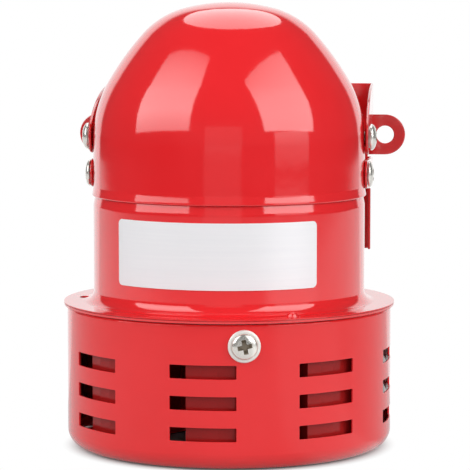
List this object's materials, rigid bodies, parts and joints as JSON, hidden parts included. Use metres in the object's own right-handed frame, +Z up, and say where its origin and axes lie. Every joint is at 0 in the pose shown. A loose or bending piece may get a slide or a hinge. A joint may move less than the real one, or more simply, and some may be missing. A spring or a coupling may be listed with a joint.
{
  "type": "motor siren",
  "caption": "Red wall-mounted motor siren: domed motor cap on a flanged can, slotted drum with a ported rotor below, folded bracket with holed ears and a blank label.",
  "frame": {"origin": "on the siren's axis at the underside of the drum, which is the middle of the box's bottom", "axes": "+Z up the siren's axis towards the dome, -Y to the front with the label, +Y to the wall"},
  "size_m": [0.0948, 0.0924, 0.1211],
  "materials": {
    "red_paint": "glossy red paint on pressed sheet",
    "rotor_red": "red paint, duller",
    "bright_screw": "bright plated steel",
    "label_silver": "silver sticker, blank",
    "black_rubber": "matt",
    "zinc_plate": "zinc plated",
    "lamination": "stacked sheet",
    "copper_winding": "varnished copper",
    "cast_alloy": "as cast",
    "sintered_bronze": "sintered",
    "shaft_steel": "ground",
    "brass": "drawn",
    "carbon": "pressed carbon",
    "cap_plastic": "moulded"
  },
  "bodies": {
    "housing": {"dome_cap": "red_paint", "motor_body": "red_paint", "sound_cage": "red_paint", "mounting_bracket": "red_paint", "name_label": "label_silver", "cable_grommet": "black_rubber", "motor_plate": "zinc_plate", "stator_core": "lamination", "field_coil_left": "copper_winding", "field_coil_right": "copper_winding", "lower_end_frame": "cast_alloy", "upper_end_frame": "cast_alloy", "lower_bushing": "sintered_bronze", "upper_bushing": "sintered_bronze", "brush_holder_left": "brass", "brush_holder_right": "brass", "brush_spring_left": "shaft_steel", "brush_spring_right": "shaft_steel", "brush_cap_left": "cap_plastic", "brush_cap_right": "cap_plastic", "through_bolt_front": "bright_screw", "through_bolt_rear": "bright_screw", "through_nut_front": "zinc_plate", "through_nut_rear": "zinc_plate", "cage_screw_1": "bright_screw", "cage_nut_1": "zinc_plate", "cage_screw_2": "bright_screw", "cage_nut_2": "zinc_plate", "cage_screw_3": "bright_screw", "cage_nut_3": "zinc_plate", "bracket_screw_upper_left": "bright_screw", "bracket_nut_upper_left": "zinc_plate", "bracket_screw_upper_right": "bright_screw", "bracket_nut_upper_right": "zinc_plate", "bracket_screw_lower_left": "bright_screw", "bracket_nut_lower_left": "zinc_plate", "bracket_screw_lower_right": "bright_screw", "bracket_nut_lower_right": "zinc_plate"},
    "spindle": {"motor_shaft": "shaft_steel", "armature_core": "lamination", "armature_winding": "copper_winding", "commutator": "copper_winding", "siren_rotor": "rotor_red", "rotor_washer": "zinc_plate", "rotor_nut": "zinc_plate"},
    "brush_left": {"carbon_brush_left": "carbon"},
    "brush_right": {"carbon_brush_right": "carbon"}
  },
  "joints": [
    {"name": "rotor_spin", "type": "hinge", "parent": "housing", "child": "spindle", "pos_m": [0, 0, 0.06], "axis": [0, 0, 1], "continuous": true},
    {"name": "brush_slide_left", "type": "slide", "parent": "housing", "child": "brush_left", "axis": [-1, 0, 0], "range_m": [0, 0.003], "stiffness_N_per_m": 60, "springref_m": -0.0005, "deforming": ["brush_spring_left"]},
    {"name": "brush_slide_right", "type": "slide", "parent": "housing", "child": "brush_right", "axis": [1, 0, 0], "range_m": [0, 0.003], "stiffness_N_per_m": 60, "springref_m": -0.0005, "deforming": ["brush_spring_right"]}
  ]
}
